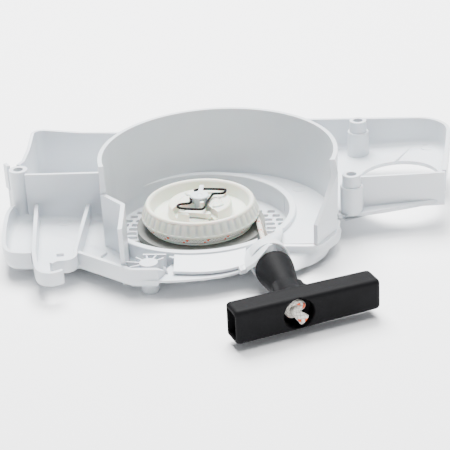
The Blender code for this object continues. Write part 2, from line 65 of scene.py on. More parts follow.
def makeCamera(d):
    bpy.ops.object.camera_add(location=d["place"], rotation=aimedRotation(d["place"], d["aim"], d["roll"]))
    camera = bpy.context.object
    camera.data.lens = d["lens"]
    camera.data.sensor_width = d["sensor"]
    camera.data.clip_end = d["farthest"]
    bpy.context.scene.camera = camera


def makeStage(d):
    bpy.ops.mesh.primitive_plane_add(size=d["floorSize"])
    floor = bpy.context.object
    floor.name = "studioFloor"
    paint = bpy.data.materials.new("studioFloor")
    paint.use_nodes = True
    shader = paint.node_tree.nodes["Principled BSDF"]
    shader.inputs["Base Color"].default_value = (*d["floorColour"], 1)
    shader.inputs["Roughness"].default_value = d["floorRough"]
    floor.data.materials.append(paint)
    world = bpy.data.worlds.new("studio")
    world.use_nodes = True
    background = world.node_tree.nodes["Background"]
    background.inputs["Color"].default_value = (*d["worldColour"], 1)
    background.inputs["Strength"].default_value = d["worldStrength"]
    bpy.context.scene.world = world


def makeLights(d):
    for lampSetup in d["lamps"]:
        place = lampSetup["place"]
        bpy.ops.object.light_add(type="AREA", location=place, rotation=aimedRotation(place, d["aim"]))
        lamp = bpy.context.object
        lamp.name = lampSetup["name"]
        lamp.data.energy = lampSetup["power"]
        lamp.data.size = lampSetup["size"]


makeCamera(viewSetup)
makeStage(stageSetup)
makeLights(lightSetup)
print("camera, floor and lights placed")


# small helpers for the materials
def newMaterial(name, colour, rough, metal=0.0, **more):
    mat = bpy.data.materials.new(name)
    mat.use_nodes = True
    shader = mat.node_tree.nodes["Principled BSDF"]
    shader.inputs["Base Color"].default_value = (*colour, 1)
    shader.inputs["Roughness"].default_value = rough
    shader.inputs["Metallic"].default_value = metal
    for socket, value in more.items():
        shader.inputs[socket.replace("_", " ")].default_value = value
    return mat, mat.node_tree, shader


def addNode(tree, kind, inputs=(), **settings):
    node = tree.nodes.new(kind)
    for name, value in settings.items():
        setattr(node, name, value)
    for socket, value in dict(inputs).items():
        if isinstance(value, bpy.types.NodeSocket):
            tree.links.new(value, node.inputs[socket])
        else:
            node.inputs[socket].default_value = value
    return node


def objectPlace(tree):
    return addNode(tree, "ShaderNodeTexCoord").outputs["Object"]


def mathNode(tree, operation, first, second=0.0):
    return addNode(tree, "ShaderNodeMath", {0: first, 1: second}, operation=operation).outputs[0]


def mapRange(tree, value, source=(0.0, 1.0), target=(0.0, 1.0)):
    sockets = {"Value": value, "From Min": source[0], "From Max": source[1], "To Min": target[0],
               "To Max": target[1]}
    return addNode(tree, "ShaderNodeMapRange", sockets).outputs[0]


def mixColours(tree, share, first, second):
    # the second colour, a fixed one, over the first by the share
    return addNode(tree, "ShaderNodeMix", {"Factor": share, 6: first, 7: (*second, 1)},
                   data_type="RGBA").outputs[2]


def noise(tree, where, scale, detail=3.0, rough=0.5):
    sockets = {"Vector": where, "Scale": scale, "Detail": detail, "Roughness": rough}
    return addNode(tree, "ShaderNodeTexNoise", sockets).outputs["Fac"]


def ramp(tree, value, stops):
    # stops are two pairs of a place and a colour
    node = addNode(tree, "ShaderNodeValToRGB", {"Fac": value})
    for element, (place, colour) in zip(node.color_ramp.elements, stops):
        element.position = place
        element.color = (*colour, 1)
    return node.outputs["Color"]


def bump(tree, shader, height, strength, distance=0.0003):
    node = addNode(tree, "ShaderNodeBump", {"Height": height, "Strength": strength, "Distance": distance})
    tree.links.new(node.outputs["Normal"], shader.inputs["Normal"])


# glossy white moulding, a little blue, with faint flow marks and a fine skin
housingLook = dict(colours=((0.62, 0.655, 0.69), (0.68, 0.71, 0.74)), rough=(0.27, 0.40), index=1.5,
                   milkiness=0.12, milkDepth=0.002, flow=14.0, smear=60.0, skin=900.0, skinShare=0.35,
                   relief=0.12)


def housingPlastic(d):
    mat, tree, shader = newMaterial("housingPlastic", d["colours"][1], d["rough"][0], IOR=d["index"],
                                    Subsurface_Weight=d["milkiness"], Subsurface_Scale=d["milkDepth"])
    where = objectPlace(tree)
    flow = noise(tree, where, d["flow"], 4.0, 0.6)
    colour = ramp(tree, flow, [(0.3, d["colours"][0]), (0.62, d["colours"][1])])
    tree.links.new(colour, shader.inputs["Base Color"])
    skin = noise(tree, where, d["skin"], 2.0)
    smear = noise(tree, where, d["smear"], 4.0, 0.65)
    tree.links.new(mapRange(tree, smear, target=d["rough"]), shader.inputs["Roughness"])
    height = mathNode(tree, "ADD", mathNode(tree, "MULTIPLY", skin, d["skinShare"]), smear)
    bump(tree, shader, height, d["relief"])
    return mat


# milky nylon: cloudy, a little yellow where it is thick, with grey stripes of painted shade where the flutes
# show through the cone
nylonLook = dict(milk=(0.70, 0.715, 0.65), thick=(0.66, 0.68, 0.54), fluteShade=(0.45, 0.48, 0.47), flutes=44,
                 fluteShadeShare=0.75, fluteEdge=(0.1, 0.9), bandLow=0.0183, lowFade=0.003, bandHigh=0.0257,
                 highFade=0.002, bandInner=0.0340, rough=0.42, index=1.53, milkiness=0.45, milkDepth=0.004,
                 cloud=55.0, skin=700.0, relief=0.10)


def milkyNylon(d):
    mat, tree, shader = newMaterial("milkyNylon", d["milk"], d["rough"], IOR=d["index"],
                                    Subsurface_Weight=d["milkiness"], Subsurface_Scale=d["milkDepth"])
    where = objectPlace(tree)
    x, y, z = addNode(tree, "ShaderNodeSeparateXYZ", {0: where}).outputs
    squares = mathNode(tree, "ADD", mathNode(tree, "POWER", x, 2.0), mathNode(tree, "POWER", y, 2.0))
    outer = mathNode(tree, "GREATER_THAN", mathNode(tree, "SQRT", squares), d["bandInner"])
    turn = mathNode(tree, "MULTIPLY", mathNode(tree, "ARCTAN2", y, x), float(d["flutes"]))
    wave = mapRange(tree, mathNode(tree, "SINE", turn), d["fluteEdge"])
    low = mapRange(tree, z, (d["bandLow"], d["bandLow"] + d["lowFade"]))
    high = mapRange(tree, z, (d["bandHigh"], d["bandHigh"] - d["highFade"]))
    band = mathNode(tree, "MULTIPLY", low, high)
    fluteShadeMask = mathNode(tree, "MULTIPLY", mathNode(tree, "MULTIPLY", wave, outer), band)
    cloud = noise(tree, where, d["cloud"], 3.0)
    milk = ramp(tree, cloud, [(0.35, d["milk"]), (0.75, d["thick"])])
    # the grey is painted shade: stripes in the flutes' band that stand in for the shading of the flutes
    mixed = mixColours(tree, mathNode(tree, "MULTIPLY", fluteShadeMask, d["fluteShadeShare"]), milk, d["fluteShade"])
    tree.links.new(mixed, shader.inputs["Base Color"])
    height = mathNode(tree, "ADD", noise(tree, where, d["skin"], 2.0), cloud)
    bump(tree, shader, height, d["relief"])
    return mat


# braided cord: the map's U counts rope diameters, V goes round
braidLook = dict(yarn=(0.80, 0.77, 0.70), gapShade=(0.22, 0.20, 0.17), fleck=(0.80, 0.10, 0.02), around=6.0,
                 along=1.5, fleckEvery=6.0, rough=0.85, sheen=0.25, fuzz=2600.0, fuzzShare=0.4, relief=0.8,
                 reliefDepth=0.0004)


def braidRope(d):
    mat, tree, shader = newMaterial("braidRope", d["yarn"], d["rough"], Sheen_Weight=d["sheen"])
    mapped = addNode(tree, "ShaderNodeUVMap").outputs[0]
    parts = addNode(tree, "ShaderNodeSeparateXYZ", {0: mapped}).outputs
    across = mathNode(tree, "MULTIPLY", parts["Y"], d["around"])
    along = mathNode(tree, "MULTIPLY", parts["X"], d["along"])

    def strand(operation):
        # one of the two sets of crossing yarns: its number, and its height across
        value = mathNode(tree, operation, across, along)
        wave = mathNode(tree, "SINE", mathNode(tree, "MULTIPLY", value, math.pi))
        return mathNode(tree, "FLOOR", value), mathNode(tree, "ABSOLUTE", wave)

    firstNumber, firstArch = strand("ADD")
    secondNumber, secondArch = strand("SUBTRACT")
    upper = mathNode(tree, "PINGPONG", mathNode(tree, "ADD", firstNumber, secondNumber), 1.0)
    arch = addNode(tree, "ShaderNodeMix", {"Factor": upper, 2: secondArch, 3: firstArch}).outputs[0]
    fuzz = noise(tree, objectPlace(tree), d["fuzz"], 2.0)
    height = mathNode(tree, "ADD", arch, mathNode(tree, "MULTIPLY", fuzz, d["fuzzShare"]))
    bump(tree, shader, height, d["relief"], d["reliefDepth"])
    # the yarn colour darkens to painted shade in the gaps between the yarns
    yarn = ramp(tree, arch, [(0.05, d["gapShade"]), (0.55, d["yarn"])])
    counted = mathNode(tree, "FLOORED_MODULO", firstNumber, d["fleckEvery"])
    chosen = mathNode(tree, "MULTIPLY", mathNode(tree, "COMPARE", counted, 1.0), upper)
    tree.links.new(mixColours(tree, chosen, yarn, d["fleck"]), shader.inputs["Base Color"])
    return mat


# plain finishes with a grain: two colours, roughness, metal, gloss, and the sizes of patch and grain
grainLooks = dict(
    blackGrip=dict(colours=((0.004, 0.004, 0.0045), (0.007, 0.007, 0.008)), rough=(0.52, 0.68), metal=0.0,
                   gloss=0.07, patch=90.0, grain=1400.0, depth=0.35),
    clipWire=dict(colours=((0.004, 0.004, 0.004), (0.010, 0.010, 0.010)), rough=(0.25, 0.45), metal=0.0,
                  gloss=0.12, patch=300.0, grain=1800.0, depth=0.2),
    springSteel=dict(colours=((0.30, 0.31, 0.34), (0.42, 0.43, 0.46)), rough=(0.22, 0.40), metal=1.0,
                     gloss=0.5, patch=120.0, grain=1200.0, depth=0.15),
    eyeletMetal=dict(colours=((0.55, 0.55, 0.53), (0.70, 0.70, 0.68)), rough=(0.2, 0.35), metal=1.0,
                     gloss=0.5, patch=200.0, grain=1500.0, depth=0.1),
    # a grey darkened to painted shade, for the spring pan and for the plate that paints the well's shadow
    cassetteShadeGrey=dict(colours=((0.13, 0.135, 0.125), (0.165, 0.17, 0.155)), rough=(0.45, 0.6), metal=0.0,
                         gloss=0.5, patch=40.0, grain=900.0, depth=0.2),
)


def grained(name, d):
    mat, tree, shader = newMaterial(name, d["colours"][0], d["rough"][0], d["metal"],
                                    Specular_IOR_Level=d["gloss"])
    where = objectPlace(tree)
    patch = noise(tree, where, d["patch"], 4.0, 0.6)
    colour = ramp(tree, patch, [(0.35, d["colours"][0]), (0.7, d["colours"][1])])
    tree.links.new(colour, shader.inputs["Base Color"])
    tree.links.new(mapRange(tree, patch, target=d["rough"]), shader.inputs["Roughness"])
    bump(tree, shader, noise(tree, where, d["grain"], 2.0), d["depth"])
    return mat


nylon = milkyNylon(nylonLook)
rope = braidRope(braidLook)
plainFinishes = [grained(name, look) for name, look in grainLooks.items()]
blackGrip, clipWire, springSteel, eyeletMetal, cassetteShadeGrey = plainFinishes
housing = housingPlastic(housingLook)
print("materials made")


# small helpers for the meshes; lengths are in millimetres until a vertex is placed
def deselectAll():
    if bpy.context.object and bpy.context.object.mode != "OBJECT":
        bpy.ops.object.mode_set(mode="OBJECT")
    bpy.ops.object.select_all(action="DESELECT")


def makeActive(piece):
    deselectAll()
    piece.select_set(True)
    bpy.context.view_layer.objects.active = piece


def pick(piece, kind, test):
    # selects, in edit mode, the parts that pass the test
    if piece.mode != "EDIT":
        makeActive(piece)
        bpy.ops.object.mode_set(mode="EDIT")
    bpy.ops.mesh.select_mode(type=kind)
    bpy.ops.mesh.select_all(action="DESELECT")
    shape = bmesh.from_edit_mesh(piece.data)
    parts = {"FACE": shape.faces, "EDGE": shape.edges, "VERT": shape.verts}[kind]
    found = [part for part in parts if test(part)]
    for part in found:
        part.select_set(True)
    shape.select_flush_mode()
    bmesh.update_edit_mesh(piece.data)


def outline(name, points, closed=True):
    # a line of edges through the points, as a circle whose corners are moved into place
    deselectAll()
    bpy.ops.mesh.primitive_circle_add(vertices=len(points), radius=10 * mm)
    piece = bpy.context.object
    piece.name = piece.data.name = name
    for vertex, point in zip(piece.data.vertices, points):
        vertex.co = Vector(point) * mm
    if not closed:
        ends = {0, len(points) - 1}
        pick(piece, "EDGE", lambda edge: {v.index for v in edge.verts} == ends)
        bpy.ops.mesh.delete(type="EDGE")
        bpy.ops.object.mode_set(mode="OBJECT")
    return piece


def applyModifier(piece, kind, **settings):
    makeActive(piece)
    modifier = piece.modifiers.new(kind.lower(), kind)
    for name, value in settings.items():
        setattr(modifier, name, value)
    bpy.ops.object.modifier_apply(modifier=modifier.name)


def thicken(piece, thick, edge=0.5, offset=0.0):
    applyModifier(piece, "SOLIDIFY", thickness=thick * mm, offset=offset, use_even_offset=True)
    softenEdges(piece, edge)


def softenEdges(piece, width, angle=40.0, segments=2):
    applyModifier(piece, "BEVEL", width=width * mm, segments=segments, limit_method="ANGLE",
                  angle_limit=math.radians(angle), use_clamp_overlap=True)
    smooth(piece)


def smooth(piece, angle=35.0):
    makeActive(piece)
    bpy.ops.object.shade_smooth_by_angle(angle=math.radians(angle))


def joinPieces(name, pieces):
    makeActive(pieces[0])
    for piece in pieces[1:]:
        piece.select_set(True)
    bpy.ops.object.join()
    pieces[0].name = pieces[0].data.name = name
    return pieces[0]


def boolean(piece, other, operation):
    applyModifier(piece, "BOOLEAN", operation=operation, solver="EXACT", object=other)
    bpy.data.objects.remove(other, do_unlink=True)


def finishPiece(piece, body, mat, replaced=()):
    # gives the piece its material, and tells the frame its body and the nodes that it replaces
    if mat is housing:
        applyModifier(piece, "WEIGHTED_NORMAL", keep_sharp=True, weight=100)
    piece.data.materials.clear()
    piece.data.materials.append(mat)
    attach(piece, body)
    if replaced:
        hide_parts(*replaced)


def finishHousing(piece, *replaced):
    finishPiece(piece, "housing", housing, replaced)


def arc(cx, cy, radius, start, end, steps):
    # points on a circle from one angle to another, in degrees
    angles = [math.radians(start + (end - start) * k / steps) for k in range(steps + 1)]
    return [(cx + radius * math.cos(a), cy + radius * math.sin(a)) for a in angles]


def smoothLine(points, perSpan=6):
    # a Catmull-Rom line through the points, in two or three dimensions
    ends = [points[0]] + list(points) + [points[-1]]
    line = []
    for p0, p1, p2, p3 in zip(ends, ends[1:], ends[2:], ends[3:]):
        for k in range(perSpan):
            t = k / perSpan
            spot = [0.5 * (2 * b + (c - a) * t + (2 * a - 5 * b + 4 * c - d) * t * t
                           + (3 * b - a - 3 * c + d) * t ** 3) for a, b, c, d in zip(p0, p1, p2, p3)]
            line.append(tuple(spot))
    line.append(tuple(points[-1]))
    return line


def rounded(points, radius, closed=True, steps=4):
    # the same outline with round corners
    line = []
    count = len(points)
    for i, here in enumerate(points):
        if not closed and i in (0, count - 1):
            line.append(tuple(here))
            continue
        p, a, b = Vector(here), Vector(points[i - 1]), Vector(points[(i + 1) % count])
        cut = min(radius, (a - p).length * 0.45, (b - p).length * 0.45)
        start, end = p + (a - p).normalized() * cut, p + (b - p).normalized() * cut
        for k in range(steps + 1):
            t = k / steps
            line.append(tuple(start * (1 - t) ** 2 + p * 2 * t * (1 - t) + end * t * t))
    return line


def valueAt(value, x, y, path=None):
    if callable(value):
        return value(x, y)
    if isinstance(value, (list, tuple)):
        near = min(range(len(path)), key=lambda i: (path[i][0] - x) ** 2 + (path[i][1] - y) ** 2)
        return value[near]
    return value


def standingWall(name, path, low, top, thick=2.5, edge=0.5):
    # a wall along an open path; its foot and top are each a number, a function or one number a point
    wall = outline(name, [(x, y, 0) for x, y in path], False)
    pick(wall, "EDGE", lambda part: True)
    bpy.ops.mesh.extrude_edges_move(TRANSFORM_OT_translate={"value": (0, 0, mm)})
    bpy.ops.object.mode_set(mode="OBJECT")
    for vertex in wall.data.vertices:
        x, y = vertex.co.x / mm, vertex.co.y / mm
        vertex.co.z = valueAt(top if vertex.co.z > 0.5 * mm else low, x, y, path) * mm
    thicken(wall, thick, edge)
    return wall


def slab(name, points, low, top, edge=0.4):
    # a flat piece with the given outline
    piece = outline(name, [(x, y, low) for x, y in points])
    pick(piece, "EDGE", lambda part: True)
    bpy.ops.mesh.edge_face_add()
    bpy.ops.mesh.extrude_region_move(TRANSFORM_OT_translate={"value": (0, 0, (top - low) * mm)})
    bpy.ops.mesh.select_all(action="SELECT")
    bpy.ops.mesh.normals_make_consistent(inside=False)
    bpy.ops.object.mode_set(mode="OBJECT")
    if edge:
        softenEdges(piece, edge)
    return piece


def basin(name, points, floor, top, cove, thick=2.5, edge=0.5, weight=None, steps=5):
    # a floor whose rim is coved up into walls; where top gives None there is no wall
    piece = outline(name, [(x, y, 0) for x, y in points])
    pick(piece, "EDGE", lambda part: True)
    bpy.ops.mesh.edge_face_add()
    pick(piece, "FACE", lambda part: True)
    turns = [math.radians(90 * k / steps) for k in range(steps + 1)]
    for a, b in zip(turns, turns[1:]):
        bpy.ops.mesh.inset(thickness=cove * (math.cos(a) - math.cos(b)) * mm, depth=-mm)
    pick(piece, "EDGE", lambda part: part.is_boundary)
    bpy.ops.mesh.extrude_edges_move(TRANSFORM_OT_translate={"value": (0, 0, mm)})

    def noWall(part):
        centre = part.calc_center_median()
        return centre.z > 0.1 * mm and top(centre.x / mm, centre.y / mm) is None

    pick(piece, "FACE", noWall)
    bpy.ops.mesh.delete(type="FACE")
    bpy.ops.object.mode_set(mode="OBJECT")
    for vertex in piece.data.vertices:
        x, y, ring = vertex.co.x / mm, vertex.co.y / mm, -round(vertex.co.z / mm)
        share = weight(x, y) if weight else 1.0
        if ring < 0:
            vertex.co.z = (top(x, y) or floor(x, y)) * mm
        else:
            vertex.co.z = (floor(x, y) + share * cove * (1 - math.sin(turns[ring]))) * mm
    pick(piece, "FACE", lambda part: True)
    bpy.ops.mesh.normals_make_consistent(inside=False)
    thicken(piece, thick, edge)
    return piece


def turned(name, profile, steps=96, closed=True):
    # spins a (radius, height) profile round the vertical axis
    piece = outline(name, [(r, 0, z) for r, z in profile], closed)
    pick(piece, "VERT", lambda part: True)
    bpy.ops.mesh.spin(steps=steps, angle=2 * math.pi, center=(0, 0, 0), axis=(0, 0, 1))
    bpy.ops.mesh.select_all(action="SELECT")
    bpy.ops.mesh.remove_doubles(threshold=0.002 * mm)
    bpy.ops.mesh.normals_make_consistent(inside=False)
    bpy.ops.object.mode_set(mode="OBJECT")
    smooth(piece)
    return piece


def placed(piece, location=(0, 0, 0), turn=(0, 0, 0)):
    # moves and turns a piece, and leaves its object at the origin
    makeActive(piece)
    piece.location = Vector(location) * mm
    piece.rotation_euler = [math.radians(a) for a in turn]
    bpy.ops.object.transform_apply(location=True, rotation=True, scale=True)
    return piece


def block(name, low, high, edge=0.3):
    deselectAll()
    middle = [(a + b) / 2 * mm for a, b in zip(low, high)]
    bpy.ops.mesh.primitive_cube_add(size=1, location=middle)
    piece = bpy.context.object
    piece.name = piece.data.name = name
    piece.scale = [(b - a) * mm for a, b in zip(low, high)]
    bpy.ops.object.transform_apply(location=True, rotation=True, scale=True)
    if edge:
        softenEdges(piece, edge)
    return piece


def boss(name, x, y, profile, steps=36):
    # a small turned post at the given place
    return placed(turned(name, rounded(profile, 0.4, steps=2), steps), (x, y, 0))


# a sheet carried from line to line; it bulges away from this place, and down
loftAim = dict(x=30.0, y=-10.0, fall=-18.0)


def loft(name, lines, across, swell):
    deselectAll()
    steps, spans = len(lines[0]) - 1, len(lines) - 1
    bpy.ops.mesh.primitive_grid_add(x_subdivisions=steps, y_subdivisions=across * spans, size=1)
    sheet = bpy.context.object
    sheet.name = sheet.data.name = name
    for vertex in sheet.data.vertices:
        i = round((vertex.co.x + 0.5) * steps)
        row = round((vertex.co.y + 0.5) * across * spans)
        span = min(row // across, spans - 1)
        share = row / across - span
        spot = Vector(lines[span][i]).lerp(Vector(lines[span + 1][i]), share)
        outward = Vector((spot.x - loftAim["x"], spot.y - loftAim["y"], loftAim["fall"])).normalized()
        vertex.co = (spot + outward * swell * math.sin(math.pi * share)) * mm
    return sheet


def lengthsAlong(spots):
    lengths = [0.0]
    for a, b in zip(spots, spots[1:]):
        lengths.append(lengths[-1] + (b - a).length)
    return lengths


def tubeAlong(name, points, diameter, sides=12, lengths=None):
    # a grid bent to a tube; its map's U counts diameters along and V goes once round
    spots = [Vector(point) for point in points]
    count = len(spots)
    lengths = lengths or lengthsAlong(spots)
    deselectAll()
    bpy.ops.mesh.primitive_grid_add(x_subdivisions=count - 1, y_subdivisions=sides, size=1)
    piece = bpy.context.object
    piece.name = piece.data.name = name
    cells = [(round((vertex.co.x + 0.5) * (count - 1)), round((vertex.co.y + 0.5) * sides))
             for vertex in piece.data.vertices]
    side = Vector((0, 0, 1))
    sections = []
    for i in range(count):
        ahead = (spots[min(i + 1, count - 1)] - spots[max(i - 1, 0)]).normalized()
        side = side - ahead * side.dot(ahead)
        side = (side if side.length > 0.05 else ahead.orthogonal()).normalized()
        sections.append((side.copy(), ahead.cross(side)))
    for vertex, (i, j) in zip(piece.data.vertices, cells):
        turn = 2 * math.pi * j / sides
        radius = diameter(i / (count - 1)) / 2 if callable(diameter) else diameter / 2
        first, second = sections[i]
        vertex.co = (spots[i] + (first * math.cos(turn) + second * math.sin(turn)) * radius) * mm
    thick = diameter(0.5) if callable(diameter) else diameter
    layer = piece.data.uv_layers[0].data
    for loop in piece.data.loops:
        i, j = cells[loop.vertex_index]
        layer[loop.index].uv = (lengths[i] / thick, j / sides)
    pick(piece, "VERT", lambda part: True)
    bpy.ops.mesh.remove_doubles(threshold=0.001 * mm)
    bpy.ops.mesh.select_all(action="DESELECT")
    bpy.ops.mesh.select_mode(type="EDGE")
    bpy.ops.mesh.select_non_manifold()
    bpy.ops.mesh.fill()
    bpy.ops.mesh.select_all(action="SELECT")
    bpy.ops.mesh.normals_make_consistent(inside=False)
    bpy.ops.object.mode_set(mode="OBJECT")
    smooth(piece, 50)
    return piece


# the round well: its rim, its slotted floor and the flat disc underneath
wellShape = dict(inner=57.2, outer=61.6, rim=20.0, floorTop=5.0, floorLow=2.5, restDisc=39.0, nearAxis=0.01,
                 soft=0.9, firstRow=-22.0, rowPitch=6.3, rows=9, slotWide=4.2, slotShortest=2.5,
                 slotRings=((42.0, 48.4), (49.8, 55.2)), slotHeights=(-1, 8),
                 ropeGap=((39.5, -52, 10.5), (49.5, -30, 22.0)),
                 backSlot=((3.0, 50.0, 14.2), (15.0, 62.0, 16.6)))


def makeWell(d):
    r, low = d["outer"], d["floorLow"]
    centre, inner, top = d["nearAxis"], d["inner"], d["floorTop"]
    profile = [(centre, 0), (d["restDisc"], 0), (d["restDisc"] + 2, low), (r - 2, low), (r, low + 2),
               (r, d["rim"]), (inner, d["rim"]), (inner, top), (centre, top)]
    well = turned("wellAndGrille", rounded(profile, d["soft"], False, 3), 144, closed=False)
    pick(well, "EDGE", lambda part: part.is_boundary)
    bpy.ops.mesh.edge_face_add()
    bpy.ops.object.mode_set(mode="OBJECT")
    half = d["slotWide"] / 2
    bottom, lid = d["slotHeights"]
    cutters = []
    for k in range(d["rows"]):
        y = d["firstRow"] + k * d["rowPitch"]
        for near, far in d["slotRings"]:
            edge = abs(y) + half
            start = math.sqrt(max(near ** 2 - y * y, 0)) if abs(y) < near else 0.0
            end = math.sqrt(max(far ** 2 - edge ** 2, 0)) if edge < far else 0.0
            if end - start < d["slotShortest"]:
                continue
            for left, right in ((-end, -start), (start, end)):
                corners = (left, y - half, bottom), (right, y + half, lid)
                cutters.append(block("slotCutter", *corners, d["soft"]))
    boolean(well, joinPieces("slotCutters", cutters), "DIFFERENCE")
    boolean(well, block("ropeGap", *d["ropeGap"], 1.0), "DIFFERENCE")
    boolean(well, block("backSlot", *d["backSlot"]), "DIFFERENCE")
    smooth(well)
    finishHousing(well, "well_ring", "intake_grille")


# the tall fan shroud, with the lower guard wall at its rear end and the falling wall at its front end
shroudShape = dict(centre=(13.75, -6.0), radius=73.95, top=63.5, start=197.6, end=-12.6, draft=0.022,
                   draftBeyond=70.0, draftAhead=-57.5, thick=2.7, soft=0.6,
                   guard=[(-39.8, -77.5), (-41.2, -60.0), (-42.4, -43.6), (-55.6, -30.6), (-56.9, -28.8)],
                   guardTops=[44.0, 44.4, 44.8, 45.0, 45.0], guardFoot=6.6, deckFoot=15.2,
                   front=[(87.6, -23.9), (82.4, -34.0), (76.2, -45.4)], frontTops=[54.8, 42.6, 29.9])


def makeShroud(d):
    sweep = arc(*d["centre"], d["radius"], d["start"], d["end"], 96)
    path = d["guard"] + sweep + d["front"]
    tops = d["guardTops"] + [d["top"]] * len(sweep) + d["frontTops"]
    low = len(d["guard"]) + 1
    feet = [d["guardFoot"]] * low + [d["deckFoot"]] * (len(path) - low)
    wall = standingWall("fanShroud", path, feet, tops, d["thick"], d["soft"])
    cx, cy = d["centre"]
    for vertex in wall.data.vertices:
        fromAxis = Vector((vertex.co.x - cx * mm, vertex.co.y - cy * mm, 0))
        if fromAxis.length > d["draftBeyond"] * mm and vertex.co.x > d["draftAhead"] * mm:
            vertex.co -= fromAxis.normalized() * d["draft"] * (d["top"] * mm - vertex.co.z)
    finishHousing(wall, "fan_shroud_wall", "shroud_front_wall", "low_guard_wall")


# floor outside the well, with the ledge in front of it, the wall under its edge and the skin below
deckShape = dict(low=14.5, top=17.0, soft=0.5, inner=(60.0, -37.5, 108, 48), outer=(73.2, 112, -20, 44),
                 ledge=[(79.5, -41.2), (74.8, -43.6), (51.5, -43.6), (45.5, -45.0), (44.0, -40.0)],
                 edgeWall=(72.6, -8, 56, 24), edgeLow=9.0, edgeTop=15.6, edgeThick=2.2,
                 skinThick=2.0, skinDrop=6.6, skinSwell=-0.8,
                 skinTop=[(48.0, -47.0, 17.6), (52.0, -44.2, 16.9), (63.0, -44.3, 16.8), (73.5, -44.4, 16.8),
                          (77.4, -42.6, 16.8), (82.6, -33.8, 16.8), (87.0, -24.2, 16.8), (88.2, -10.0, 16.8)],
                 skinLow=[(52.0, -62.0, 6.0), (56.0, -61.2, 5.0), (62.6, -57.0, 4.4), (68.6, -50.4, 4.2),
                          (74.4, -43.0, 4.2), (79.0, -34.0, 4.2), (81.6, -23.0, 4.6), (82.0, -10.0, 5.0)])


def makeDeck(d):
    centre = shroudShape["centre"]
    points = arc(0, 0, *d["inner"]) + arc(*centre, *d["outer"]) + d["ledge"]
    deck = slab("shroudDeck", points, d["low"], d["top"], d["soft"])
    top, low = smoothLine(d["skinTop"], 5), smoothLine(d["skinLow"], 5)
    middle = [(x, y, z - d["skinDrop"]) for x, y, z in top]
    skin = loft("lowerSkin", [top, middle, low], 6, d["skinSwell"])
    thicken(skin, d["skinThick"], 0.3, -1.0)
    line = arc(*centre, *d["edgeWall"])
    below = standingWall("deckEdge", line, d["edgeLow"], d["edgeTop"], d["edgeThick"], 0.4)
    finishHousing(joinPieces("shroudDeck", [deck, skin, below]), "shroud_deck", "lower_skin")


# rear box, with its middle wall, screw boss and the lug on its corner
rearShape = dict(
    floor=7.75, top=42.4, cornerTop=44.0, cove=3.0, wellEdge=(59.6, 167.5, 120, 12),
    back=[(-28.2, 60.6), (-38.0, 76.5), (-60.0, 79.0), (-90.0, 80.8), (-115.0, 82.2)],
    corner=(-116.4, 76.2, 6.0, 88, 176, 6),
    side=[(-122.6, 60.0), (-122.2, 40.0), (-122.6, 27.0), (-122.6, 12.9)],
    wallFrom=26.0, wellClear=(64.0, -61), cornerRight=-112.0, dipRight=-118.0, dipFrom=74.0, dipLong=48.0,
    dip=4.2, mid=[(-115.4, 12.9), (-95.0, 12.75), (-74.0, 12.9), (-56.5, 12.9)], midLow=7.0,
    midTops=[41.1, 41.4, 41.7, 41.9], boss=(-120.6, 17.9), bossLow=6.6, bossHole=3.2, bossWidth=6.3,
    lug=((-1.3, -3.0, 26.0), (1.3, 3.0, 43.4), 0.5), lugPlace=(-129.4, 24.0, 0), lugTurn=35,
    web=((-1.2, -3.2, 12.0), (1.2, 4.0, 41.0), 0.4), webPlace=(-126.4, 21.6, 0), webTurn=50)


def makeRearBox(d):
    def top(x, y):
        reach, right = d["wellClear"]
        if y < d["wallFrom"] or (math.hypot(x, y) < reach and x > right):
            return None
        if x < d["dipRight"] and y < d["dipFrom"]:
            share = min(1.0, (d["dipFrom"] - y) / d["dipLong"])
            return d["top"] - d["dip"] * math.sin(math.pi * share) ** 0.8
        return d["cornerTop"] if x < d["cornerRight"] else d["top"]

    points = d["back"] + arc(*d["corner"]) + d["side"] + arc(0, 0, *d["wellEdge"])
    shell = basin("rearBox", points, lambda x, y: d["floor"], top, d["cove"])
    mid = standingWall("rearMidWall", d["mid"], d["midLow"], d["midTops"])
    hole, wide, low = d["bossHole"], d["bossWidth"], d["bossLow"]
    post = boss("rearBoss", *d["boss"], [(hole, low), (wide, low), (wide - 0.1, d["top"]), (hole, d["top"])])
    lug = placed(block("rearLug", *d["lug"]), d["lugPlace"], (0, 0, d["lugTurn"]))
    web = placed(block("rearWeb", *d["web"]), d["webPlace"], (0, 0, d["webTurn"]))
    finishHousing(joinPieces("rearBox", [shell, mid, post, lug, web]),
                  "rear_box_wall", "rear_box_floor", "rear_mid_wall", "rear_screw_boss")


# rear tray with the hooked catch
trayShape = dict(
    floor=7.75, top=20.0, cove=4.5, wellEdge=(59.6, -100, -191, 26), back=[(-62.0, 12.9), (-123.0, 12.9)],
    edge=[(-124.8, 10.4), (-125.8, -3.0), (-122.4, -29.0), (-118.2, -48.6), (-112.6, -57.0),
          (-104.5, -58.8), (-99.2, -58.6)],
    front=[(-84.0, -58.4), (-69.6, -58.4), (-52.3, -70.0), (-34.0, -82.2), (-18.4, -82.2), (-10.9, -63.4)],
    openFrom=-98.5, openTo=-70.5, openFront=-50, wallBack=12.0, wellClear=61.0, cornerFrom=(-11.6, -64.0),
    ribThick=2.6, ribLow=7.0, barLow=11.0, ribStart=(-109.5, 12.0), fingerStart=(-75.0, 12.0),
    rib=[(-98.0, -56.9), (-92.6, -76.5), (-88.4, -83.8), (-82.4, -86.0), (-77.4, -83.8), (-75.8, -81.8)],
    finger=[(-72.3, -54.0), (-71.3, -63.5), (-74.6, -68.2), (-81.4, -69.8), (-84.2, -73.4)],
    plateLow=-0.6, plateTop=1.9,
    plate=[(-97.4, -57.0), (-72.4, -57.0), (-71.8, -63.6), (-75.6, -67.4), (-81.8, -69.4), (-85.4, -72.6),
           (-87.4, -77.0), (-86.8, -80.4), (-89.2, -82.8), (-92.6, -76.5)])


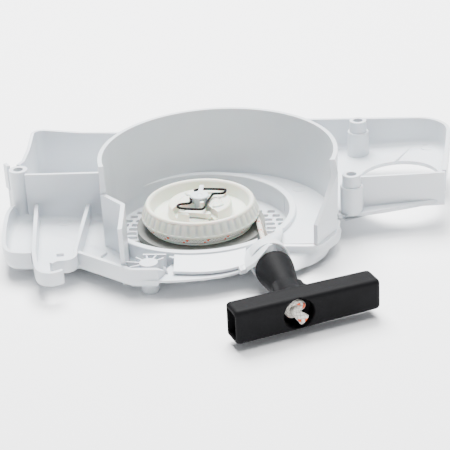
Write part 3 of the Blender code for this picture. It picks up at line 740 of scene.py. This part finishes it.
def makeTray(d):
    def top(x, y):
        right, front = d["cornerFrom"]
        if d["openFrom"] < x < d["openTo"] and y < d["openFront"]:
            return None
        if y > d["wallBack"] or math.hypot(x, y) < d["wellClear"] or (x > right and y > front):
            return None
        return d["top"]

    def bar(name, start, points):
        # a rib on the tray's floor that goes on in front of it, where its foot is higher
        line = smoothLine(points, 5)
        feet = [d["ribLow"]] * 2 + [d["barLow"]] * (len(line) - 1)
        return standingWall(name, [start] + line, feet, d["top"], d["ribThick"])

    outer = smoothLine(d["edge"], 4) + d["front"] + arc(0, 0, *d["wellEdge"]) + d["back"]
    shell = basin("rearTray", outer, lambda x, y: d["floor"], top, d["cove"])
    rib = bar("catchRib", d["ribStart"], d["rib"])
    finger = bar("catchFinger", d["fingerStart"], d["finger"])
    plate = slab("catchFloor", d["plate"], d["barLow"] + d["plateLow"], d["barLow"] + d["plateTop"])
    finishHousing(joinPieces("rearTray", [shell, rib, finger, plate]), "tray_outer_wall", "tray_floor",
                  "catch_rib", "catch_finger", "catch_floor", "tray_front_wall")


# screw boss at the front edge, with its ribs and the plate behind it
guardShape = dict(place=(-24.5, -72.5), radius=5.7, top=19.6, ribLow=7.0, ribThick=1.1,
                  ribs=((40, 11), (72, 12), (104, 12), (138, 12), (172, 14), (205, 12)),
                  plate=((-7.0, -0.7), (7.5, 0.7)), platePlace=(2.0, 10.6))


def makeGuardBoss(d):
    x, y = d["place"]
    r, low, top = d["radius"], d["ribLow"], d["top"]
    parts = [boss("guardBoss", x, y, [(0.01, 0), (r - 0.5, 0), (r, 1.2), (r, top), (0.01, top)])]
    half = d["ribThick"] / 2
    for turn, length in d["ribs"]:
        rib = block("bossRib", (0, -half, low), (length, half, top - 0.5), 0.25)
        parts.append(placed(rib, (x, y, 0), (0, 0, turn)))
    near, far = d["plate"]
    aside, behind = d["platePlace"]
    parts.append(placed(block("ribPlate", (*near, low), (*far, top)), (x + aside, y + behind, 0)))
    finishHousing(joinPieces("guardBoss", parts), "guard_boss")


# apron between the well and the front lip: a sloping panel, the lip's shelf, and a scallop at the rim
apronShape = dict(panelTop=17.0, panelLow=13.6, panelInner=(60.4, -100, -57), panelThick=2.0, panelSwell=-0.5,
                  edge=[(-9.4, -76.8), (8.0, -77.6), (22.0, -74.6), (33.4, -68.2)],
                  lipTop=13.0, lipLow=11.4, lipThick=1.8, shelfShare=0.93,
                  lip=[(-30.4, -82.3), (-15.4, -83.4), (3.0, -81.7), (20.1, -77.3), (30.6, -71.0),
                       (36.7, -63.2), (42.4, -54.6), (47.4, -44.0)],
                  corner=[(-20.0, -82.6), (-9.0, -82.0), (-4.0, -76.0), (-7.0, -60.5), (-12.0, -62.0)],
                  gusset=((0, -0.7, 9.0), (5.0, 0.7, 17.0)), gussetPlace=(-15.6, -73.6, 0), gussetTurn=-30,
                  gussetSlopeFrom=15, gussetSlope=0.35, scallopOuter=(4.5, -36.0, 31.5, -125, -55, 24),
                  scallopInner=(60.6, -68.5, -102.8, 16), scallopLow=-0.4, scallopTop=0.7)


def makeApron(d):
    outer = smoothLine(d["edge"], 6)
    inner = arc(0, 0, *d["panelInner"], len(outer) - 1)
    lines = [[(x, y, d["panelTop"]) for x, y in inner], [(x, y, d["panelLow"]) for x, y in outer]]
    panel = loft("apronPanel", lines, 6, d["panelSwell"])
    thicken(panel, d["panelThick"], 0.3, -1.0)
    lip = standingWall("frontLip", smoothLine(d["lip"], 6), d["lipLow"], d["lipTop"], d["lipThick"], 0.4)
    line = smoothLine(d["lip"], 3)
    inside = [(x * d["shelfShare"], y * d["shelfShare"]) for x, y in line]
    shelf = slab("lipShelf", line + inside[::-1], d["lipLow"], d["lipTop"] - 0.2, 0.3)
    corner = slab("apronCorner", d["corner"], d["lipLow"], d["lipTop"] - 0.25, 0.2)
    gusset = placed(block("apronGusset", *d["gusset"]), d["gussetPlace"], (0, 0, d["gussetTurn"]))
    x, y = d["gussetPlace"][:2]
    for vertex in gusset.data.vertices:
        if vertex.co.z > d["gussetSlopeFrom"] * mm:
            vertex.co = Vector((x * mm, y * mm, vertex.co.z)).lerp(vertex.co, d["gussetSlope"])
    scallop = slab("apronScallop", arc(*d["scallopOuter"]) + arc(0, 0, *d["scallopInner"]),
                   d["panelTop"] + d["scallopLow"], d["panelTop"] + d["scallopTop"])
    finishHousing(joinPieces("frontApron", [panel, lip, shelf, corner, gusset, scallop]),
                  "apron_panel", "front_lip")


# the way the rope is pulled, and the collar round its way out
pullShape = dict(outlet=(46.4, -57.4, 15.0), turn=-73.0)
collarShape = dict(soft=0.6, profile=[(6.4, -4.0), (11.2, -4.0), (12.4, 2.0), (12.6, 7.0), (11.4, 7.0),
                                      (10.2, 2.0), (6.4, 0.6)])


def onPull(side, up, along):
    # a place given from the outlet, to the side of the pull, above it and along it
    x, y, z = pullShape["outlet"]
    turn = math.radians(pullShape["turn"])
    ahead, aside = math.cos(turn), math.sin(turn)
    return (x + along * ahead - side * aside, y + along * aside + side * ahead, z + up)


def alongPull(piece):
    # turns a piece made upright so that it points along the pull, from the outlet
    placed(piece, (0, 0, 0), (0, 90, 0))
    return placed(piece, pullShape["outlet"], (0, 0, pullShape["turn"]))


def makeCollar(d):
    collar = turned("outletCollar", rounded(d["profile"], d["soft"], steps=2), 64)
    finishHousing(alongPull(collar), "outlet_collar")


# smooth hood that rises from the lip over the rope's way out and falls to the ledge
# skirts: how far it hangs down at its outer line, each up to a share of the length
hoodShape = dict(
    inner=[(27.0, -57.0, 13.4), (31.5, -53.4, 14.4), (36.0, -49.8, 16.4), (43.0, -42.8, 18.6),
           (49.6, -35.2, 18.8), (55.4, -25.0, 17.8)],
    outer=[(30.0, -73.6, 13.2), (34.7, -70.2, 13.4), (41.4, -73.6, 19.6), (45.4, -72.6, 24.4),
           (48.4, -64.6, 25.4), (52.4, -46.0, 19.6)],
    crown=1.2, skirts=[(0.45, 1.5), (0.62, 3.0), (0.80, 8.5), (1.0, 7.0)], skirtRows=2, across=8, perSpan=5,
    thick=1.8)


def makeHood(d):
    inner, outer = smoothLine(d["inner"], d["perSpan"]), smoothLine(d["outer"], d["perSpan"])
    across, last = d["across"], len(inner) - 1
    rows = across + d["skirtRows"]
    bpy.ops.mesh.primitive_grid_add(x_subdivisions=last, y_subdivisions=rows, size=1)
    hood = bpy.context.object
    for vertex in hood.data.vertices:
        i = round((vertex.co.x + 0.5) * last)
        j = round((vertex.co.y + 0.5) * rows)
        share = min(1.0, j / across)
        spot = Vector(inner[i]).lerp(Vector(outer[i]), share)
        spot.z += d["crown"] * math.sin(math.pi * share)
        if j > across:
            deep = next(skirt for end, skirt in d["skirts"] if i / last <= end)
            spot.z -= deep * (j - across) / d["skirtRows"]
        vertex.co = spot * mm
    hood.name = hood.data.name = "outletHood"
    thicken(hood, d["thick"], 0.5, -1.0)
    finishHousing(hood)


# front bay: a floor that rises to the front, with a round hole, walls on three sides and two bosses
bayShape = dict(floor=15.75, top=38.5, cove=5.0, rise=3.5 / 60.0, riseFrom=90.0, hole=(128.0, 50.0, 26.5),
                near=[(88.8, -3.2), (104.5, -2.0), (118.0, 0.8), (132.0, 4.5), (150.0, 10.4), (156.2, 17.0)],
                edge=[(162.0, 84.0), (160.6, 94.0), (155.0, 102.4), (147.0, 107.0), (137.0, 107.8)],
                back=[(102.0, 107.8), (66.6, 107.8), (63.2, 52.6)], shroudEdge=(74.0, 49, 4.0, 12),
                wallFrom=14.0, shroudClear=(75.5, 52), coveFrom=(150.0, 20.0), coveWithin=(6.0, 12.0),
                mid=[(101.5, 7.4), (130.0, 10.2), (156.4, 13.2)], midLow=16.0, midTop=38.9,
                flatOver=60, bosses=((100.9, 94.3), (97.2, 3.4)),
                bossProfile=[(7.3, 34.4), (6.6, 34.9), (5.9, 34.2), (5.8, 42.6), (3.4, 42.6), (3.2, 42.2)])


def makeBay(d):
    cx, cy = shroudShape["centre"]
    points = d["near"] + smoothLine(d["edge"], 4) + d["back"] + arc(cx, cy, *d["shroudEdge"])

    def floor(x, y):
        return d["floor"] + d["rise"] * (x - d["riseFrom"])

    def weight(x, y):
        (right, behind), (wide, deep) = d["coveFrom"], d["coveWithin"]
        return min(1.0, max(0.0, (x - right) / wide, (y - behind) / deep))

    def top(x, y):
        reach, behind = d["shroudClear"]
        if y < d["wallFrom"] or (math.hypot(x - cx, y - cy) < reach and y < behind):
            return None
        return d["top"]

    shell = basin("frontBay", points, floor, top, d["cove"], weight=weight)
    mid = standingWall("bayMidWall", d["mid"], d["midLow"], d["midTop"])
    hx, hy, hr = d["hole"]
    hole = turned("bayHole", [(0.01, 5), (hr, 5), (hr, 60), (0.01, 60)], 72, False)
    boolean(shell, placed(hole, (hx, hy, 0)), "DIFFERENCE")
    smooth(shell)
    for polygon in shell.data.polygons:
        if polygon.area > d["flatOver"] * mm * mm:
            polygon.use_smooth = False
    parts = [shell, mid]
    for x, y in d["bosses"]:
        foot = floor(x, y)
        parts.append(boss("bayBoss", x, y, [(3.2, foot), (7.4, foot)] + d["bossProfile"]))
    finishHousing(joinPieces("frontBay", parts),
                  "bay_floor", "bay_outer_wall", "bay_mid_wall", "bay_boss_rear", "bay_boss_front")


# ejector marks, fins, a knob and the seam that show in the moulding
markShape = dict(rings=[(62.1, 37.4, 17.0, 4.2), (-91.0, 5.6, 9.0, 4.0), (148.4, 96.8, 20.4, 4.4)],
                 ringProfile=[(-0.3, -0.5), (0.3, -0.5), (0.2, 0.22), (-0.2, 0.22)],
                 fins=[(-85.0, -42.0, 2.4, 10), (-57.0, -43.0, 3.0, 60), (-104.0, -30.0, 1.6, 80)],
                 finHeights=(8.5, 10.8), finThick=0.8, knob=(-53.2, -29.5), knobHeights=(8.0, 22.0),
                 knobRadius=1.6, seam=((-0.3, -0.35, 8.0), (0.3, 0.35, 18.6), 0.1), seamAt=(54.2, 22.8),
                 seamShare=0.972)


def makeMarks(d):
    parts = []
    for x, y, z, radius in d["rings"]:
        profile = [(radius + out, z + up) for out, up in d["ringProfile"]]
        parts.append(placed(turned("ejectorMark", profile, 48), (x, y, 0)))
    low, top = d["finHeights"]
    half = d["finThick"] / 2
    for x, y, length, turn in d["fins"]:
        fin = block("fin", (-length, -half, low), (length, half, top), 0.2)
        parts.append(placed(fin, (x, y, 0), (0, 0, turn)))
    low, top = d["knobHeights"]
    radius = d["knobRadius"]
    parts.append(boss("knob", *d["knob"], [(0.01, low), (radius, low), (radius, top), (0.01, top)], 24))
    x, y = d["seamAt"]
    parts.append(placed(block("seam", *d["seam"]), (x * d["seamShare"], y * d["seamShare"], 0),
                        (0, 0, math.degrees(math.atan2(y, x)))))
    finishHousing(joinPieces("mouldMarks", parts))


# grey pan that holds the spring, darkened to paint the shadow in the well, and a plain dark plate in front of
# it that paints the shadow on the well's floor
cassetteShape = dict(bore=8.4, outer=41.4, lid=31.0, low=5.3, top=10.75, wall=1.6, lidThick=0.4,
                     floorThick=1.0, plateLow=5.1, plateTop=6.4, plateNear=(41.8, -158.0, -22.0, 48),
                     plateFar=(56.6, -22.0, -158.0, 60))


def makeCassette(d):
    low, top, bore, outer = d["low"], d["top"], d["bore"], d["outer"]
    within, under, above = outer - d["wall"], top - d["lidThick"], low + d["floorThick"]
    profile = [(bore, low), (outer, low), (outer, top), (d["lid"], top), (d["lid"], under), (within, under),
               (within, above), (bore, above)]
    pan = turned("springCassette", rounded(profile, 0.15, steps=2))
    # the plate is a dark sheet of painted shadow lying on the well's floor in front of the pulley
    plate = slab("frontShadePlate", arc(0, 0, *d["plateNear"]) + arc(0, 0, *d["plateFar"]), d["plateLow"],
                 d["plateTop"], 0.3)
    finishPiece(plate, "housing", cassetteShadeGrey)
    finishPiece(pan, "housing", cassetteShadeGrey, ["spring_cassette"])


# rope pulley: groove below, fluted cone above, hub inside an open ring
pulleyShape = dict(
    depth=0.55, bandLow=18.8, bandHigh=25.5, bandInner=34.0,
    profile=[(5.3, 11.0), (33.6, 11.0), (33.6, 12.2), (23.8, 12.5), (23.8, 16.2), (36.8, 16.4), (37.9, 17.3),
             (38.0, 18.2), (37.9, 18.9), (37.3, 20.8), (36.4, 23.4), (35.4, 25.4), (35.1, 26.0), (34.7, 26.7),
             (33.9, 27.1), (32.8, 26.9), (31.8, 25.8), (30.2, 18.6), (20.8, 18.6), (20.3, 25.3), (19.6, 26.0),
             (14.2, 26.0), (13.6, 25.5), (12.8, 25.5), (12.2, 26.0), (9.0, 26.0), (8.4, 26.5), (5.3, 26.5)],
    pocket=[(-14.4, -6.2), (-6.0, -4.6), (4.8, -4.6), (7.4, -8.0), (14.4, -17.6), (15.0, -26.0),
            (-4.0, -27.2), (-5.0, -18.0), (-13.4, -16.0), (-16.8, -11.4)],
    pocketLow=21.4, pocketTop=32.0, pocketKeep=[(29.8, 18.0), (46, 18.0), (46, 36), (29.8, 36)],
    notch=((-1.8, -3.5, 19.5), (1.8, 3.5, 30)), notchAt=(8.7, -17.7),
    nubs=((12.3, -6.1, 35), (-8.1, 12.0, 125)),
    nubProfile=[(0.01, 25.5), (2.6, 25.5), (2.6, 26.4), (1.6, 27.1), (0.01, 27.3)], nubStretch=1.5)


def makePulley(d):
    flutes = nylonLook["flutes"]
    pulley = turned("ropePulley", rounded(d["profile"], 0.35, steps=2), flutes * 6)
    for vertex in pulley.data.vertices:
        x, y, z = vertex.co / mm
        radius = math.hypot(x, y)
        if radius > d["bandInner"] and d["bandLow"] < z < d["bandHigh"]:
            radius -= d["depth"] * (0.5 + 0.5 * math.sin(flutes * math.atan2(y, x)))
            share = radius / math.hypot(x, y)
            vertex.co.x, vertex.co.y = x * share * mm, y * share * mm
    pocket = slab("pawlPocket", rounded(d["pocket"], 1.6, steps=3), d["pocketLow"], d["pocketTop"], 0.2)
    boolean(pocket, turned("pocketLimit", d["pocketKeep"], 64), "DIFFERENCE")
    boolean(pulley, pocket, "DIFFERENCE")
    x, y = d["notchAt"]
    notch = placed(block("hubNotch", *d["notch"]), (x, y, 0), (0, 0, math.degrees(math.atan2(y, x)) + 90))
    boolean(pulley, notch, "DIFFERENCE")
    parts = [pulley]
    for x, y, turn in d["nubs"]:
        nub = boss("hubNub", 0, 0, d["nubProfile"])
        for vertex in nub.data.vertices:
            vertex.co.x *= d["nubStretch"]
        parts.append(placed(nub, (x, y, 0), (0, 0, turn)))
    pulley = joinPieces("ropePulley", parts)
    smooth(pulley, 40)
    finishPiece(pulley, "pulley", nylon, ["rope_pulley"])


# pawl with the peg that the wire clip moves and the pin that it swings on
pawlShape = dict(pivot=(-9.6, -11.0), low=21.7, top=25.2, heel=(3.2, 80, 260, 10), soft=0.45,
                 nose=[(-1.0, -15.2), (6.0, -17.4), (8.6, -17.0), (8.2, -13.6), (4.6, -12.0), (4.8, -7.4),
                       (2.2, -5.2), (-0.4, -7.0), (-2.6, -9.0)],
                 peg=(2.2, -7.6), pegRadius=1.5, pegTop=29.2, pegLow=24,
                 pin=[(0.01, 24), (1.7, 24), (1.7, 25.9), (0.01, 26.1)])


def makePawl(d):
    points = rounded(arc(*d["pivot"], *d["heel"]) + d["nose"], 0.8, steps=2)
    lever = slab("drivePawl", points, d["low"], d["top"], d["soft"])
    radius, low, top = d["pegRadius"], d["pegLow"], d["pegTop"]
    peg = boss("pawlPeg", *d["peg"], [(0.01, low), (radius + 0.4, low), (radius, low + 1.6), (radius, top),
                                      (0.01, top + 0.2)])
    pin = boss("pawlPin", *d["pivot"], d["pin"])
    finishPiece(joinPieces("drivePawl", [lever, peg, pin]), "pawl", nylon, ["pawl"])


# the friction clip, one bent wire
clipShape = dict(
    height=28.3, wire=1.7,
    path=[(-4.7, 12.0), (-1.3, 14.2), (2.5, 14.4), (9.0, 14.0), (14.4, 13.4), (15.9, 10.8), (14.1, 7.3),
          (8.6, 6.6), (7.4, 3.6), (6.3, -1.0), (5.4, -6.6), (4.9, -12.0), (3.4, -16.2), (-1.0, -16.6),
          (-9.8, -15.2), (-13.0, -12.2), (-11.4, -8.9), (-6.2, -7.5), (-5.2, -4.4), (-5.9, 0.0),
          (-5.4, 3.4)])


def makeClip(d):
    path = [(x, y, d["height"]) for x, y in smoothLine(d["path"])]
    finishPiece(tubeAlong("springClip", path, d["wire"], 10), "clip", clipWire, ["spring_clip"])


# the cap on the post, a disc with a dished top and a lug
capShape = dict(low=29.2, radius=6.1, dish=(2.3, 1.5), lug=((-1.5, 5.0, 29.4), (1.5, 16.0, 30.6), 0.35))


def makeCap(d):
    low, r = d["low"], d["radius"]
    outer, inner = d["dish"]
    profile = [(0.01, low), (r - 0.5, low), (r, low + 0.6), (r, low + 1.3), (r - 0.6, low + 1.8),
               (outer, low + 1.8), (inner, low + 1.1), (0.01, low + 0.9)]
    disc = turned("postCap", rounded(profile, 0.25, steps=2), 48)
    finishHousing(joinPieces("postCap", [disc, block("capLug", *d["lug"])]), "post_cap")


# rope: the turns on the pulley, and the run through the outlet to the knot
ropeShape = dict(thick=3.2, height=14.35, first=25.6, last=36.0, turns=3.2, turnSteps=400, insideSteps=10,
                 outsideSteps=180, outsideFrom=1.0, knotFrom=63.5, travel=767.0, stretchFrom=4.0,
                 stretchTo=58.0)


def ropeLeaves(d):
    # the angle at which the rope leaves the pulley for the outlet
    x, y = pullShape["outlet"][:2]
    return math.atan2(y, x) + math.acos(d["last"] / math.hypot(x, y))


def makeRopeTurns(d):
    touch = ropeLeaves(d)
    path = []
    for k in range(d["turnSteps"] + 1):
        share = k / d["turnSteps"]
        radius = d["first"] + (d["last"] - d["first"]) * share
        turn = touch + 2 * math.pi * d["turns"] * (1 - share)
        path.append((radius * math.cos(turn), radius * math.sin(turn), d["height"]))
    finishPiece(tubeAlong("ropeTurns", path, d["thick"]), "pulley", rope, ["rope_winding"])


def makeRopeLead(d):
    touch = ropeLeaves(d)
    start = Vector((d["last"] * math.cos(touch), d["last"] * math.sin(touch), d["height"]))
    inside = [start.lerp(Vector(pullShape["outlet"]), k / d["insideSteps"]) for k in range(d["insideSteps"])]
    near, far, steps = d["outsideFrom"], d["knotFrom"], d["outsideSteps"]
    path = inside + [Vector(onPull(0, 0, near + (far - near) * k / steps)) for k in range(steps + 1)]
    lengths = lengthsAlong(path)
    base = lengths[len(inside)]
    for i in range(len(inside), len(path)):
        # the braid keeps its real length where the lead is pulled out
        along = near + lengths[i] - base
        t = min(1.0, max(0.0, (along - d["stretchFrom"]) / (d["stretchTo"] - d["stretchFrom"])))
        lengths[i] += d["travel"] * t * t * (3 - 2 * t)
    lead = tubeAlong("ropeLead", path, d["thick"], lengths=lengths)
    lead.data.materials.clear()
    lead.data.materials.append(rope)
    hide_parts("rope_lead")
    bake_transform(lead)


# the knot, a tangle on the pull's own line that ends in a thick frayed end
knotShape = dict(
    thick=4.2, endThick=7.0, thickFrom=0.75, thickWithin=0.22, roundFrom=0.97, endLeast=0.15,
    path=[(0.0, 0.0, 64.6), (1.6, -1.4, 67.6), (-2.6, -3.4, 68.8), (-5.4, -0.6, 69.6), (-4.8, 3.8, 70.6),
          (-0.6, 5.6, 71.4), (2.6, 3.6, 72.0), (-0.6, 2.2, 73.0), (-2.6, 1.6, 74.0), (-1.0, -0.2, 75.0),
          (1.4, -2.4, 75.8), (3.0, -4.0, 76.2)])


def makeKnot(d):
    path = [onPull(*spot) for spot in smoothLine(d["path"], 8)]

    def thick(share):
        if share > d["roundFrom"]:
            past = (share - d["roundFrom"]) / (1 - d["roundFrom"])
            return d["endThick"] * math.sqrt(max(d["endLeast"], 1 - past ** 2))
        growth = max(0.0, (share - d["thickFrom"]) / d["thickWithin"])
        return d["thick"] + (d["endThick"] - d["thick"]) * growth

    finishPiece(tubeAlong("ropeKnot", path, thick, 16), "handle", rope, ["rope_knot"])


# pull handle: grip bar, round stem and the web between them, with the knot's recess in its face
handleShape = dict(
    face=76.0, deep=16.0, tall=20.6, left=-40.4, right=50.4, gripTurn=26.8, soft=2.6, taper=0.0011,
    voxel=0.55, smoothings=9, webLow=8.6, webTop=21.4,
    stem=[(0.01, 14.8), (10.8, 14.8), (11.8, 16.4), (11.4, 22.0), (9.8, 33.0), (8.4, 45.0), (8.9, 55.0),
          (10.6, 64.0), (0.01, 64.0)],
    web=[(-22.0, 68.0), (-21.0, 64.4), (-14.0, 61.4), (-10.0, 56.0), (-7.6, 45.0), (7.6, 45.0), (9.6, 50.5),
         (12.8, 54.6), (19.0, 57.0), (21.0, 61.0), (0.0, 68.0)],
    recess=[(0.01, 66.0), (9.2, 66.0), (9.5, 90.0), (0.01, 90.0)],
    bore=[(0.01, 5), (2.2, 5), (2.2, 70), (0.01, 70)], hollow=((-60.0, -6.0, -8.0), (-18.0, 6.0, 8.0), 1.2))


def makeHandle(d):
    middle = onPull(0, 0, d["face"] - d["deep"] / 2)
    turn = (0, 0, d["gripTurn"])
    deep, tall = d["deep"] / 2, d["tall"] / 2
    bar = block("gripBar", (d["left"], -deep, -tall), (d["right"], deep, tall), 0)
    softenEdges(bar, d["soft"], 40, 5)
    for vertex in bar.data.vertices:
        vertex.co.z *= 1 - d["taper"] * vertex.co.x / mm
    placed(bar, middle, turn)
    stem = alongPull(turned("handleStem", d["stem"], 64))
    points = [onPull(side, 0, along)[:2] for side, along in smoothLine(d["web"], 5)]
    web = slab("handleWeb", points, d["webLow"], d["webTop"], 0)
    handle = joinPieces("pullHandle", [bar, stem, web])
    applyModifier(handle, "REMESH", mode="VOXEL", voxel_size=d["voxel"] * mm, adaptivity=0.0)
    boolean(handle, alongPull(turned("knotRecess", d["recess"], 64)), "DIFFERENCE")
    boolean(handle, alongPull(turned("ropeBore", d["bore"], 32)), "DIFFERENCE")
    boolean(handle, placed(block("endHollow", *d["hollow"]), middle, turn), "DIFFERENCE")
    applyModifier(handle, "REMESH", mode="VOXEL", voxel_size=d["voxel"] * mm, adaptivity=0.0)
    applyModifier(handle, "SMOOTH", factor=0.5, iterations=d["smoothings"])
    makeActive(handle)
    bpy.ops.object.shade_smooth()
    finishPiece(handle, "handle", blackGrip, ["pull_handle"])


def finishHidden():
    # the model's own pieces that stay: the spring, the bush in the outlet and the post
    for name, mat in (("recoil_spring", springSteel), ("rope_bush", eyeletMetal), ("centre_post", housing)):
        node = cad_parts[name]
        node.data.materials.clear()
        node.data.materials.append(mat)


makeWell(wellShape)
makeShroud(shroudShape)
makeDeck(deckShape)
makeRearBox(rearShape)
makeTray(trayShape)
makeGuardBoss(guardShape)
makeApron(apronShape)
makeCollar(collarShape)
makeHood(hoodShape)
makeBay(bayShape)
print("housing made")
makeMarks(markShape)
makeCassette(cassetteShape)
makePulley(pulleyShape)
makePawl(pawlShape)
makeClip(clipShape)
makeCap(capShape)
makeRopeTurns(ropeShape)
makeRopeLead(ropeShape)
print("pulley, clip and rope made")
makeHandle(handleShape)
makeKnot(knotShape)
finishHidden()
print("handle and knot made")
